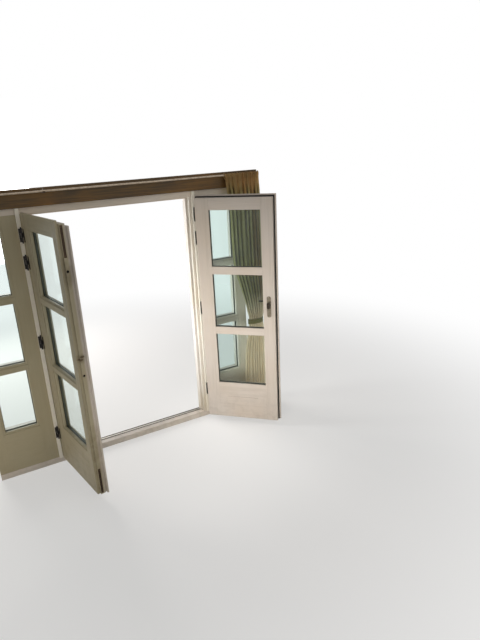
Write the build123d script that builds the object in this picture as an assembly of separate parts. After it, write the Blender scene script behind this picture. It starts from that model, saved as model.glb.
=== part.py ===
from build123d import *
import os

os.makedirs("parts", exist_ok=True)

# All lengths in millimetres. X runs along the wall, +Y points outdoors and Z is up.
# Pieces are drawn with the frame's inner face in the plane Y = 0. When they are saved they move
# indoors by half the frame's depth, so the origin ends in the middle of the sill's underside.

# Pair of doors
open_left = 81.0              # how far each leaf stands open at rest, in degrees
open_right = 135.0
leaf_thickness = 56.0
leaf_gap_floor = 8.0          # leaf's lower edge over the sill
edge_gap = 6.0                # round the leaf's body, and half of the meeting gap
hinge_stile = 108.0           # seen from outdoors, from the body's edge to the glass
pane_width = 432.0
meeting_stile = 99.0
bottom_rail = 342.0
pane_height = 469.0
bar_width = 66.0
pane_rows = 3
top_rail = 97.0
lip_width = 22.0              # the inner lip laps over the frame
lip_thickness = 15.0
seal_thickness = 3.0
seal_width = 11.0
rebate = 12.0                 # how far glass and beads sit back into the timber
nib = 14.0                    # timber outside the glass
bead_setback = 4.0
bead_bevel = 6.0
tenon_length = 32.0
tenon_shoulder = 22.0         # timber left over and under a rail's tenon
bar_tenon = 20.0
groove_length = 280.0         # drip groove across the bottom rail
groove_height = 205.0
groove_size = 4.0

# Sealed glass units
sheet = 4.0
cavity = 8.0
glass_play = 3.0
spacer_width = 11.0

# Hinges
knuckle_radius = 7.0
knuckle_clearance = 2.0       # between the knuckles and the timber behind them
pin_radius = 3.5
pin_play = 0.1
hinge_length = 96.0
knuckle_gap = 0.6
wing_thickness = 3.0
leaf_wing = 18.0
wing_clearance = 0.8          # between the knuckles and the straight edge of a wing
neck_relief = 0.5
hinges_from_foot = (234.0, 1022.0)   # centres over the leaf's lower edge
hinges_from_top = (358.0, 160.0)     # centres under the leaf's upper edge

# Fixed frame
frame_depth = 90.0
lining_width = 26.0
lining_lap = 8.0              # the lining reaches this far past the pin, towards the leaf
post_face = 100.0             # post seen beside the lining
stop_lap = 10.0               # the outer stop covers this much of the leaf
stop_gap = 6.0
window_pane = 235.0
window_rebate = 18.0
window_bead = 22.0
window_bead_setback = 4.0
outer_jamb_face = 82.0
head_height = 64.0
sill_height = 50.0
sill_depth = 108.0
sill_fall = 6.0
drip_inset = 10.0             # drip groove under the sill's nose
drip_width = 5.0
drip_depth = 4.0
threshold_width = 34.0        # metal weather strip on the sill
threshold_base = 2.0
threshold_height = 6.0
threshold_lip = 4.0
threshold_rib = 6.0
threshold_rib_inset = 8.0

# Header board and curtain rail
header_overhang = 149.0       # past each end of the frame
header_height = 128.0
header_thickness = 32.0
header_above_leaf = 30.0
rail_radius = 7.0
rail_reach = 34.0             # rail centre in front of the header board
rail_below_top = 24.0
rail_short = 8.0              # the rail stops this far inside each end of the board
rail_end_edge = 2.0
bracket_inset = 60.0          # outer brackets, from the board's ends
bracket_middle = -490.0
bracket_plate = 30.0
bracket_plate_thickness = 4.0
bracket_arm = 8.0
bracket_cup = 18.0
bracket_cup_wall = 4.0

# Curtain, as a plain solid: places along the wall are measured from the right-hand hinge pins
curtain_depth = 58.0
curtain_start = 278.0
curtain_lean = 36.0
curtain_end = 612.0
curtain_heading = 8.0         # cloth over the rail
curtain_bottom = 70.0
gather_height = 1400.0        # where the free edge begins to draw in
tie_height = 860.0
tie_band = 46.0
tie_start = 462.0
tie_end = 606.0
tie_thickness = 5.0
foot_height = 530.0           # where the cloth under the tie hangs straight again
foot_start = 390.0
foot_end = 626.0
play = 0.3

# Meeting edges, lock and handle
rebate_gap = 5.0
strip_thickness = 18.0        # cover strip planted on the outside of the left leaf
strip_seat = 30.0
strip_ends = 15.0             # the strip stops short of the head's stop
bolt_width = 18.0
bolt_height = 205.0
bolt_depth = 3.0
bolt_end = 8.0
bolt_inset = 2.0
edge_hole_radius = 9.0
edge_hole_depth = 14.0
edge_hole_height = 953.0
edge_hole_under_bolt = 88.0
plate_width = 34.0
plate_thickness = 5.0
plate_over_spindle = 76.0
plate_under_cylinder = 44.0
lock_centres = 64.0           # from the lock cylinder up to the spindle
spindle_square = 8.0
boss_radius = 9.0
boss_play = 0.5
boss_seat = 8.0
cylinder_height = 1027.0
cylinder_radius = 7.5
cylinder_proud = 3.0
key_slot = 8.0
key_slot_width = 2.0
key_slot_depth = 4.0
knob_width = 28.0
knob_height = 58.0
knob_depth = 20.0
knob_edge = 6.0
knob_neck = 12.0
lever_reach = 46.0
lever_length = 118.0
lever_radius = 8.0
lever_neck_radius = 6.5
lever_edge = 3.0
lever_collar = 10.0

# Sizes that follow from the ones above, first those along a leaf, measured from its pin
unit = 2 * sheet + cavity
axis_proud = knuckle_radius + knuckle_clearance
lip_edge = lining_lap + rebate_gap
body_edge = lip_edge + lip_width
pane_start = body_edge + hinge_stile
pane_end = pane_start + pane_width
lock_edge = pane_end + meeting_stile
lock_line = (pane_end + lock_edge) / 2
pane_floors = [bottom_rail + row * (pane_height + bar_width) for row in range(pane_rows)]
pane_top = pane_floors[-1] + pane_height
body_top = pane_top + top_rail
leaf_height = body_top + lip_width
hinge_heights = list(hinges_from_foot) + [leaf_height - drop for drop in hinges_from_top]
knuckle = (hinge_length - 2 * knuckle_gap) / 3

# Through a leaf, measured from its pin
face_in = axis_proud
face_out = face_in + leaf_thickness
lip_back = face_in + lip_thickness
edge_in = lip_back + rebate_gap
nib_in = face_out - nib
glass_in = nib_in - unit
spindle_height = cylinder_height + lock_centres
bolt_line = edge_in + bolt_inset + bolt_width / 2
bolt_lows = (bolt_end, body_top - bolt_end - bolt_height)

# In the wall
hinge_x = lock_edge + edge_gap
lining_thickness = lip_thickness + seal_thickness + rebate_gap
hinge_y = -(lining_thickness + axis_proud)
leaf_bottom = sill_height + leaf_gap_floor
pocket_x = hinge_x - body_edge + edge_gap     # inner edge of a post, right-hand side
stop_x = hinge_x - body_edge - stop_lap
stop_y = hinge_y + face_out + stop_gap
lining_x = hinge_x - lining_lap
post_x = lining_x + lining_width + post_face
window_x = post_x + window_rebate
window_end = window_x + window_pane
jamb_x = window_end + window_rebate
frame_end = jamb_x + outer_jamb_face
window_nib = window_bead_setback + window_bead + unit
window_floors = [leaf_bottom + floor for floor in pane_floors]
window_top = leaf_bottom + pane_top
pocket_top = leaf_bottom + body_top + edge_gap
stop_top = leaf_bottom + body_top - stop_lap
frame_top = pocket_top + head_height
header_half = frame_end + header_overhang
header_bottom = leaf_bottom + leaf_height + header_above_leaf
header_top = header_bottom + header_height
rail_half = header_half - rail_short
rail_y = -header_thickness - rail_reach
rail_z = header_top - rail_below_top
bracket_places = (bracket_inset - header_half, bracket_middle, header_half - bracket_inset)
over = 1.0                    # how far a cutting shape runs past the piece it cuts


def block(x0, x1, y0, y1, z0, z1):
    """A box between two opposite corners."""
    return Pos((x0 + x1) / 2, (y0 + y1) / 2, (z0 + z1) / 2) * Box(x1 - x0, y1 - y0, z1 - z0)


def upright(points, z0, z1):
    """A section in X and Y, run up from z0 to z1."""
    return Pos(0, 0, z0) * extrude(make_face(Polyline(points, close=True)), z1 - z0)


def across(points, x0, x1):
    """A section in Y and Z, run along X."""
    section = make_face(Polyline([(x0, y, z) for y, z in points], close=True))
    return extrude(section, x1 - x0, dir=(1, 0, 0))


def bar_y(x, y0, y1, z, radius):
    """A round bar along Y, to cut with or to keep."""
    return Pos(x, (y0 + y1) / 2, z) * Rot(90, 0, 0) * Cylinder(radius, y1 - y0)


def bar_x(x0, x1, y, z, radius):
    """A round bar along X."""
    return Pos((x0 + x1) / 2, y, z) * Rot(0, 90, 0) * Cylinder(radius, x1 - x0)


def mirrored(shape):
    """The same piece for the other side of the doorway."""
    return mirror(shape, about=Plane.YZ)


def both_sides(shapes):
    """Pieces of the right-hand side, and the same ones on the left."""
    return list(shapes) + [mirrored(shape) for shape in shapes]


def save(name, solids):
    """One STEP file for a node, of one solid or several that don't touch."""
    solids = solids if isinstance(solids, list) else [solids]
    flat = [Pos(0, -frame_depth / 2, 0) * solid for shape in solids for solid in shape.solids()]
    export_step(flat[0] if len(flat) == 1 else Compound(children=flat), f"parts/{name}.step")


def ring(x0, x1, y0, y1, z0, z1, width):
    """A rectangular frame in the XZ plane, with its opening inside."""
    hole = block(x0 + width, x1 - width, y0 - over, y1 + over, z0 + width, z1 - width)
    return block(x0, x1, y0, y1, z0, z1) - hole


def bead_frame(x0, x1, y0, y1, z0, z1, width, bevel):
    """Glazing beads round one pane, with their free inner edge bevelled."""
    frame = ring(x0, x1, y0, y1, z0, z1, width)
    middle_x, middle_z = (x0 + x1) / 2, (z0 + z1) / 2
    reach_x, reach_z = middle_x - x0 - width / 2, middle_z - z0 - width / 2
    front = frame.faces().sort_by(Axis.Y)[0]
    inner = [
        edge
        for edge in front.edges()
        if abs(edge.center().X - middle_x) < reach_x and abs(edge.center().Z - middle_z) < reach_z
    ]
    return chamfer(inner, bevel)


def glazing(x0, x1, z0, z1, y0, margin):
    """Sheets and spacer of one sealed unit whose seen part runs from x0 to x1 and z0 to z1."""
    side = margin - glass_play
    x0, x1, z0, z1 = x0 - side, x1 + side, z0 - side, z1 + side
    sheets = [
        block(x0, x1, y0, y0 + sheet, z0, z1),
        block(x0, x1, y0 + unit - sheet, y0 + unit, z0, z1),
    ]
    return sheets, ring(x0, x1, y0 + sheet, y0 + unit - sheet, z0, z1, spacer_width)


# Leaves. Each piece is drawn closed, with the pin at x = 0 and y = 0, the leaf running along +X
# and its lower edge at z = 0. It is then mirrored for the right-hand leaf and swung open.


def tenoned(shape, z0, z1):
    """Add a stub tenon at both ends of a rail, a third of the leaf's thickness."""
    x0, x1 = pane_start - rebate - tenon_length, pane_end + rebate + tenon_length
    return shape + block(x0, x1, face_in + leaf_thickness / 3, face_out - leaf_thickness / 3, z0, z1)


def rail_blank(core_low, core_high, nib_low, nib_high):
    """A rail between the stiles, with its nib scribed between theirs."""
    core = block(pane_start - rebate, pane_end + rebate, face_in, nib_in, core_low, core_high)
    return core + block(pane_start, pane_end, nib_in, face_out, nib_low, nib_high)


def make_bottom_rail():
    """Deep bottom rail with a drip groove across its outer face."""
    blank = rail_blank(0, bottom_rail - rebate, 0, bottom_rail)
    middle = (pane_start + pane_end) / 2
    groove = block(
        middle - groove_length / 2,
        middle + groove_length / 2,
        face_out - groove_size,
        face_out + over,
        groove_height,
        groove_height + groove_size,
    )
    return tenoned(blank - groove, tenon_shoulder, bottom_rail - rebate - tenon_shoulder)


def make_top_rail():
    """Top rail with the lip that laps over the frame's head."""
    blank = rail_blank(pane_top + rebate, body_top, pane_top, body_top)
    lip = block(pane_start - rebate, pane_end + rebate, face_in, lip_back, body_top, leaf_height)
    return tenoned(blank + lip, pane_top + rebate + tenon_shoulder, body_top - tenon_shoulder)


def make_bars():
    """Glazing bars between the panes."""
    bars = []
    for floor in pane_floors[1:]:
        blank = rail_blank(floor - bar_width + rebate, floor - rebate, floor - bar_width, floor)
        middle = floor - bar_width / 2
        bars.append(tenoned(blank, middle - bar_tenon / 2, middle + bar_tenon / 2))
    return bars


def stile(points):
    """A stile from its section, stepped back above the body for the lip at the top."""
    far = lock_edge + lip_width + over
    step = block(lip_edge - over, far, lip_back, face_out + over, body_top, leaf_height + over)
    return upright(points, 0, leaf_height) - step


def mortised(shape, pieces):
    """Cut the rails' tenons out of a stile."""
    for piece in pieces:
        shape = shape - piece
    return shape


def make_hinge_stile(rails):
    """Stile with the lip towards the frame and the rebate towards the glass."""
    points = [
        (lip_edge, face_in),
        (pane_start - rebate, face_in),
        (pane_start - rebate, nib_in),
        (pane_start, nib_in),
        (pane_start, face_out),
        (body_edge, face_out),
        (body_edge, lip_back),
        (lip_edge, lip_back),
    ]
    return mortised(stile(points), rails)


def make_left_meeting_stile(rails):
    """Stile rebated indoors for the other leaf's lip, with bolt recesses and two blind holes."""
    step = lip_width - edge_gap
    points = [
        (pane_end + rebate, face_in),
        (lock_edge - step, face_in),
        (lock_edge - step, edge_in),
        (lock_edge, edge_in),
        (lock_edge, face_out),
        (pane_end, face_out),
        (pane_end, nib_in),
        (pane_end + rebate, nib_in),
    ]
    blank = mortised(stile(points), rails)
    for recess in bolt_recesses():
        blank = blank - recess
    for height in (edge_hole_height, bolt_lows[-1] - edge_hole_under_bolt):
        hole = bar_x(lock_edge - edge_hole_depth, lock_edge + over, bolt_line, height, edge_hole_radius)
        blank = blank - hole
    return blank


def make_right_meeting_stile(rails):
    """Stile with a lip over the other leaf, bored for the spindle and the lock cylinder."""
    points = [
        (pane_end + rebate, face_in),
        (lock_edge + lip_width, face_in),
        (lock_edge + lip_width, lip_back),
        (lock_edge, lip_back),
        (lock_edge, face_out),
        (pane_end, face_out),
        (pane_end, nib_in),
        (pane_end + rebate, nib_in),
    ]
    return bored(mortised(stile(points), rails), face_in, face_out)


def bored(shape, y0, y1):
    """Bore a piece for the spindle's boss and the lock cylinder."""
    boss = bar_y(lock_line, y0 - over, y1 + over, spindle_height, boss_radius + boss_play)
    return shape - boss - bar_y(lock_line, y0 - over, y1 + over, cylinder_height, cylinder_radius)


def make_leaf_glass():
    """Sheets and spacers of a leaf's sealed units."""
    sheets, spacers = [], []
    for floor in pane_floors:
        pair, spacer = glazing(pane_start, pane_end, floor, floor + pane_height, glass_in, rebate)
        sheets += pair
        spacers.append(spacer)
    return sheets, spacers


def make_leaf_beads():
    """Beads that hold a leaf's glass from indoors."""
    x0, x1 = pane_start - rebate, pane_end + rebate
    y0 = face_in + bead_setback
    return [
        bead_frame(x0, x1, y0, glass_in, floor - rebate, floor + pane_height + rebate, rebate, bead_bevel)
        for floor in pane_floors
    ]


def make_seal(lock_side):
    """Black seal on the back of the lip, up the hinge side and along the top."""
    y0, y1 = lip_back, lip_back + seal_thickness
    start, top = body_edge - seal_width, body_top + seal_width
    end = lock_edge + seal_width if lock_side else lock_edge - lip_width
    seal = block(start, end, y0, y1, body_top, top) + block(start, body_edge, y0, y1, 0, top)
    return seal + block(lock_edge, end, y0, y1, 0, top) if lock_side else seal


def make_cover_strip():
    """Strip on the outside of the left leaf that covers the gap between the leaves."""
    step = face_out + rebate_gap + play
    points = [
        (lock_edge - strip_seat, face_out),
        (lock_edge, face_out),
        (lock_edge, step),
        (lock_edge + lip_width, step),
        (lock_edge + lip_width, face_out + strip_thickness),
        (lock_edge - strip_seat, face_out + strip_thickness),
    ]
    strip = upright(points, rebate_gap, body_top - strip_ends)
    outer = strip.edges().filter_by(Axis.Z).group_by(Axis.Y)[-1]
    return fillet(outer, strip_thickness / 4)


def bolt_recesses():
    """The two places where a flush bolt is let into the meeting edge."""
    y0, y1 = bolt_line - bolt_width / 2, bolt_line + bolt_width / 2
    return [block(lock_edge - bolt_depth, lock_edge, y0, y1, low, low + bolt_height) for low in bolt_lows]


def make_flush_bolts():
    """Face plates that fill the recesses, each with a finger slot."""
    plates = []
    for recess in bolt_recesses():
        slot = Box(bolt_depth, bolt_width / 3, bolt_height / 3)
        plates.append(recess - Pos(lock_edge, bolt_line, recess.center().Z) * slot)
    return plates


def make_leaf_hinge(centre):
    """The half that turns: middle knuckle, bored for the pin, and the wing on the leaf's face."""
    low, high = centre - hinge_length / 2, centre + hinge_length / 2
    neck_low, neck_high = centre - knuckle / 2, centre + knuckle / 2
    wing_y = face_in - wing_thickness
    barrel = Pos(0, 0, centre) * Cylinder(knuckle_radius, knuckle)
    neck = block(0, lip_edge + over, wing_y, face_in - neck_relief, neck_low, neck_high)
    wing = block(lip_edge, lip_edge + leaf_wing, wing_y, face_in, low, high)
    bore = Pos(0, 0, centre) * Cylinder(pin_radius + pin_play, knuckle + 2 * over)
    return barrel + neck + wing - bore


def make_frame_hinge(centre):
    """The fixed half: outer knuckles on the pin, and the wing on the lining."""
    low, high = centre - hinge_length / 2, centre + hinge_length / 2
    wing_y = face_in - wing_thickness
    wing_edge = -knuckle_radius - wing_clearance
    half = Pos(0, 0, centre) * Cylinder(pin_radius, hinge_length)
    for z0, z1 in ((low, low + knuckle), (high - knuckle, high)):
        half = half + Pos(0, 0, (z0 + z1) / 2) * Cylinder(knuckle_radius, knuckle)
        half = half + block(wing_edge - over, 0, wing_y, face_in, z0, z1)
    return half + block(lining_lap - lining_width, wing_edge, wing_y, face_in, low, high)


def make_lock_plates():
    """Long plates on both faces of the right leaf, bored for spindle and lock cylinder."""
    x0, x1 = lock_line - plate_width / 2, lock_line + plate_width / 2
    z0, z1 = cylinder_height - plate_under_cylinder, spindle_height + plate_over_spindle
    plates = []
    for y0, y1 in ((face_in - plate_thickness, face_in), (face_out, face_out + plate_thickness)):
        plate = block(x0, x1, y0, y1, z0, z1)
        plate = fillet(plate.edges().filter_by(Axis.Y), plate_width / 2 - over)
        plates.append(bored(plate, y0, y1))
    return plates


def make_lock_cylinder():
    """Lock cylinder through the leaf, with a key slot in each end."""
    proud = plate_thickness + cylinder_proud
    ends = (face_in - proud, face_out + proud)
    body = bar_y(lock_line, ends[0], ends[1], cylinder_height, cylinder_radius)
    for y in ends:
        slot = Box(key_slot_width, 2 * key_slot_depth, key_slot)
        body = body - Pos(lock_line, y, cylinder_height) * slot
    return body


def half_spindle(y0, y1):
    """Square bar from a boss to the middle of the leaf."""
    half = spindle_square / 2
    low, high = spindle_height - half, spindle_height + half
    return block(lock_line - half, lock_line + half, y0, y1, low, high)


def make_knob():
    """Oval knob outdoors, on a round neck, with half of the spindle."""
    seat = face_out + plate_thickness + knob_neck
    neck = bar_y(lock_line, face_out - boss_seat, seat, spindle_height, boss_radius)
    oval = extrude(SlotOverall(knob_height, knob_width, rotation=90), knob_depth)
    oval = chamfer(oval.faces().sort_by(Axis.Z)[0].edges(), knob_edge)
    oval = Pos(lock_line, seat + knob_depth, spindle_height) * Rot(90, 0, 0) * oval
    return neck + oval + half_spindle((face_in + face_out) / 2, face_out)


def make_lever():
    """Lever indoors: collar, neck and a round grip that runs back towards the hinges."""
    seat = face_in - plate_thickness
    grip_y = seat - lever_reach
    collar = bar_y(lock_line, seat - lever_collar, face_in + boss_seat, spindle_height, boss_radius)
    neck = bar_y(lock_line, grip_y, seat, spindle_height, lever_neck_radius)
    grip = bar_x(lock_line - lever_length, lock_line + lever_radius, grip_y, spindle_height, lever_radius)
    grip = chamfer(grip.faces().sort_by(Axis.X)[0].edges(), lever_edge)
    return collar + neck + grip + half_spindle(face_in, (face_in + face_out) / 2)


def swung(shape, right):
    """Put a piece of a leaf on its pins, at the angle the leaf rests at."""
    if right:
        return Pos(hinge_x, hinge_y, leaf_bottom) * Rot(0, 0, open_right) * mirrored(shape)
    return Pos(-hinge_x, hinge_y, leaf_bottom) * Rot(0, 0, -open_left) * shape


def on_frame(shape, right):
    """Put a fixed piece at the pins, without swinging it."""
    shape = mirrored(shape) if right else shape
    return Pos(hinge_x if right else -hinge_x, hinge_y, leaf_bottom) * shape


def save_leaves():
    """Both leaves: the pieces they share, then the ones each has by itself."""
    bottom, top, bars = make_bottom_rail(), make_top_rail(), make_bars()
    rails = [bottom, top] + bars
    sheets, spacers = make_leaf_glass()
    common = {
        "hinge_stile": make_hinge_stile(rails),
        "top_rail": top,
        "bottom_rail": bottom,
        "glazing_bars": bars,
        "glass": sheets,
        "glass_spacers": spacers,
        "glazing_beads": make_leaf_beads(),
        "hinges": [make_leaf_hinge(height) for height in hinge_heights],
    }
    left_only = {
        "meeting_stile": make_left_meeting_stile(rails),
        "cover_strip": make_cover_strip(),
        "flush_bolts": make_flush_bolts(),
        "seal": make_seal(False),
    }
    right_only = {
        "meeting_stile": make_right_meeting_stile(rails),
        "seal": make_seal(True),
        "lock_plates": make_lock_plates(),
        "lock_cylinder": make_lock_cylinder(),
    }
    for right, side, own in ((False, "left", left_only), (True, "right", right_only)):
        for name, shapes in {**common, **own}.items():
            shapes = shapes if isinstance(shapes, list) else [shapes]
            save(f"{side}_leaf_{name}", [swung(shape, right) for shape in shapes])
    save("outside_knob", swung(make_knob(), True))
    save("inside_lever", swung(make_lever(), True))


# Fixed frame, drawn for the right-hand side


def make_head():
    """Head across the whole frame, with the leaves' stop worked on it."""
    points = [
        (0, pocket_top),
        (stop_y, pocket_top),
        (stop_y, stop_top),
        (frame_depth, stop_top),
        (frame_depth, frame_top),
        (0, frame_top),
    ]
    return across(points, -frame_end, frame_end)


def make_sill():
    """Sill with its outer part weathered between the posts, and a drip under the nose."""
    sill = block(-frame_end, frame_end, 0, sill_depth, 0, sill_height)
    fall = [
        (frame_depth, sill_height),
        (sill_depth, sill_height - sill_fall),
        (sill_depth, sill_height + over),
        (frame_depth, sill_height + over),
    ]
    drip_y = sill_depth - drip_inset
    drip = block(-frame_end - over, frame_end + over, drip_y - drip_width, drip_y, -over, drip_depth)
    return sill - across(fall, -frame_end - over, frame_end + over) - drip


def make_post(head):
    """Door post, rebated for the leaf's body on one side and the window's glass on the other."""
    points = [
        (pocket_x, 0),
        (post_x, 0),
        (post_x, window_nib),
        (window_x, window_nib),
        (window_x, frame_depth),
        (stop_x, frame_depth),
        (stop_x, stop_y),
        (pocket_x, stop_y),
    ]
    return upright(points, sill_height, frame_top) - head


def make_outer_jamb(head):
    """Jamb at the frame's end, rebated for the window's glass."""
    points = [
        (jamb_x, 0),
        (frame_end, 0),
        (frame_end, frame_depth),
        (window_end, frame_depth),
        (window_end, window_nib),
        (jamb_x, window_nib),
    ]
    return upright(points, sill_height, frame_top) - head


def window_rail(low, high, low_rebate, high_rebate):
    """A rail of the side window between post and jamb, with its outer nib scribed between theirs."""
    core = block(post_x, jamb_x, 0, window_nib, low + low_rebate, high - high_rebate)
    return core + block(window_x, window_end, window_nib, frame_depth, low, high)


def make_lining():
    """Upright strip on the post that carries the hinges."""
    return block(lining_x, lining_x + lining_width, -lining_thickness, 0, sill_height, header_bottom)


def make_threshold():
    """Metal weather strip across the sill, with a raised rib and a lipped outer edge."""
    inner, outer = frame_depth - threshold_width, frame_depth
    base, crest = sill_height + threshold_base, sill_height + threshold_height
    rib_in = inner + threshold_rib_inset
    rib_out = rib_in + threshold_rib
    points = [
        (inner, sill_height),
        (outer, sill_height),
        (outer, crest),
        (outer - threshold_lip, crest),
        (outer - threshold_lip, base),
        (rib_out + threshold_base, base),
        (rib_out, crest),
        (rib_in, crest),
        (rib_in - threshold_base, base),
        (inner, base),
    ]
    return across(points, -stop_x, stop_x)


def save_frame():
    """Head, sill, posts and jambs, the glazed side windows, and the fixed halves of the hinges."""
    head = make_head()
    sheets, spacers, beads = [], [], []
    glass_y = window_nib - unit
    for floor in window_floors:
        pair, spacer = glazing(window_x, window_end, floor, floor + pane_height, glass_y, window_rebate)
        sheets += pair
        spacers.append(spacer)
        low, high = floor - window_rebate, floor + pane_height + window_rebate
        bead = (post_x, jamb_x, window_bead_setback, glass_y, low, high, window_rebate, bead_bevel)
        beads.append(bead_frame(*bead))
    bars = [
        window_rail(floor - bar_width, floor, window_rebate, window_rebate)
        for floor in window_floors[1:]
    ]
    bottom = window_rail(sill_height, window_floors[0], 0, window_rebate)
    top = window_rail(window_top, frame_top, window_rebate, 0) - head
    hinges = [make_frame_hinge(height) for height in hinge_heights]
    save("sill", make_sill())
    save("threshold_strip", make_threshold())
    save("frame_head", head)
    save("right_door_post", make_post(head))
    save("left_door_post", mirrored(make_post(head)))
    save("right_outer_jamb", make_outer_jamb(head))
    save("left_outer_jamb", mirrored(make_outer_jamb(head)))
    save("door_linings", both_sides([make_lining()]))
    save("window_bottom_rails", both_sides([bottom]))
    save("window_top_rails", both_sides([top]))
    save("window_glazing_bars", both_sides(bars))
    save("window_glass", both_sides(sheets))
    save("window_glass_spacers", both_sides(spacers))
    save("window_glazing_beads", both_sides(beads))
    save("frame_hinges", [on_frame(hinge, right) for right in (False, True) for hinge in hinges])


# Header board, curtain rail and curtain


def make_bracket(x):
    """Plate on the board, flat arm, and an open cup under the rail."""
    half, arm, width = bracket_plate / 2, bracket_arm / 2, bracket_cup / 2
    board = -header_thickness
    reach = rail_radius + bracket_cup_wall
    cup = bar_x(x - width, x + width, rail_y, rail_z, reach)
    cup = cup - block(x - width, x + width, rail_y - reach, rail_y + reach, rail_z, rail_z + reach)
    arm = block(x - arm, x + arm, rail_y, board, rail_z - bracket_arm, rail_z)
    plate = block(x - half, x + half, board - bracket_plate_thickness, board, rail_z - half, rail_z + half)
    return plate + arm + cup - bar_x(x - width - over, x + width + over, rail_y, rail_z, rail_radius)


def make_rail():
    """Plain pole with a chamfer round each end."""
    rail = bar_x(-rail_half, rail_half, rail_y, rail_z, rail_radius)
    ends = rail.faces().sort_by(Axis.X)
    return chamfer([ends[0].edges(), ends[-1].edges()], rail_end_edge)


def make_curtain():
    """Gathered curtain that falls straight, is drawn in by its tie and spreads below it.

    It hangs over the rail from a slot that is open at the back, wider round the bracket's cup.
    """
    tie_low, tie_high = tie_height - tie_band, tie_height + tie_band
    heading = rail_z + rail_radius + curtain_heading
    outline = [
        (curtain_start, heading),
        (curtain_start + curtain_lean, gather_height),
        (tie_start, tie_high),
        (tie_start, tie_low),
        (foot_start, foot_height),
        (foot_start, curtain_bottom),
        (foot_end, curtain_bottom),
        (foot_end, foot_height),
        (tie_end, tie_low),
        (tie_end, tie_high),
        (curtain_end, gather_height),
        (curtain_end, heading),
    ]
    back = rail_y + curtain_depth / 2
    points = [(hinge_x + x, back, z) for x, z in outline]
    solid = extrude(make_face(Polyline(points, close=True)), curtain_depth, dir=(0, -1, 0))
    cup_x = bracket_places[-1]
    cup_half = bracket_cup / 2 + play
    slots = (
        (hinge_x + curtain_start - over, hinge_x + curtain_end + over, rail_radius + play),
        (cup_x - cup_half, cup_x + cup_half, rail_radius + bracket_cup_wall + play),
    )
    for x0, x1, reach in slots:
        solid = solid - block(x0, x1, rail_y - reach, back + over, rail_z - reach, rail_z + reach)
    return solid


def make_tieback():
    """Band that holds the curtain together."""
    reach = curtain_depth / 2 + play
    x0, x1 = hinge_x + tie_start - play, hinge_x + tie_end + play
    y0, y1 = rail_y - reach, rail_y + reach
    low, high = tie_height - tie_band / 2, tie_height + tie_band / 2
    outer = block(x0 - tie_thickness, x1 + tie_thickness, y0 - tie_thickness, y1 + tie_thickness, low, high)
    return outer - block(x0, x1, y0, y1, low - over, high + over)


save_leaves()
save_frame()
save("header_board", block(-header_half, header_half, -header_thickness, 0, header_bottom, header_top))
save("curtain_rail", make_rail())
save("rail_brackets", [make_bracket(x) for x in bracket_places])
save("curtain", make_curtain())
save("curtain_tieback", make_tieback())
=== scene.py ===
import logging
import math
from dataclasses import dataclass
from enum import Enum
from typing import Callable, Optional, Sequence, Union

import bpy
from mathutils import Matrix, Vector


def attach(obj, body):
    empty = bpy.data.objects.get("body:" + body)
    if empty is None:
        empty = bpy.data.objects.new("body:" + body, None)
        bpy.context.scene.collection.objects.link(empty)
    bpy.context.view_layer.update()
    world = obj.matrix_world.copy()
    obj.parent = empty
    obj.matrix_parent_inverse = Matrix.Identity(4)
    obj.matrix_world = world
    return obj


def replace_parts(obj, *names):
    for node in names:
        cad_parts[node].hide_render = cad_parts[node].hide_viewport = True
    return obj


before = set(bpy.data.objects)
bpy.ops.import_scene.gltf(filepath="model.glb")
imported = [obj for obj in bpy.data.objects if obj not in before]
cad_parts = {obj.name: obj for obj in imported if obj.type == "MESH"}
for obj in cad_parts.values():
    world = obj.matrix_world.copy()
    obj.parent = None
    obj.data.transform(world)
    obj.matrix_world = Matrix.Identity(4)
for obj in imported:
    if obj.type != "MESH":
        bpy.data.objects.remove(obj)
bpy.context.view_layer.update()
log = logging.getLogger("garden_doors")

Piece = bpy.types.Object
Feed = Union["Field", float, int, str, tuple]
Key = Union[int, str]


def srgb(red: float, green: float, blue: float) -> tuple:
    """Turn a colour as seen, 0 to 255, into a linear one with full alpha."""
    seen = (value / 255 for value in (red, green, blue))
    return (*(v / 12.92 if v < 0.04045 else ((v + 0.055) / 1.055) ** 2.4 for v in seen), 1.0)


# Shader graph


class Field:
    """An output socket on which Python's operators add Math nodes."""

    def __init__(self, graph: "Graph", socket: bpy.types.NodeSocket) -> None:
        """Keep the graph and the socket."""
        self.graph = graph
        self.socket = socket

    def math(self, operation: str, first: Feed, second: Feed = 0.0, clamp: bool = False) -> "Field":
        """Return the result of a Math node, kept from 0 to 1 on request."""
        return self.graph.add("Math", {0: first, 1: second}, operation=operation, use_clamp=clamp)

    def __add__(self, other: Feed) -> "Field":
        """Return self + other."""
        return self.math("ADD", self, other)

    def __sub__(self, other: Feed) -> "Field":
        """Return self - other."""
        return self.math("SUBTRACT", self, other)

    def __rsub__(self, other: Feed) -> "Field":
        """Return other - self."""
        return self.math("SUBTRACT", other, self)

    def __mul__(self, other: Feed) -> "Field":
        """Return self * other."""
        return self.math("MULTIPLY", self, other)

    __radd__ = __add__
    __rmul__ = __mul__

    def clamp(self) -> "Field":
        """Return the value held from 0 to 1."""
        return self.math("MULTIPLY", self, 1.0, clamp=True)

    def ease(self, low: float, high: float) -> "Field":
        """Return a soft step from 0 at low to 1 at high."""
        values = {"Value": self, "From Min": low, "From Max": high}
        return self.graph.add("MapRange", values, interpolation_type="SMOOTHSTEP", clamp=True)


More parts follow.
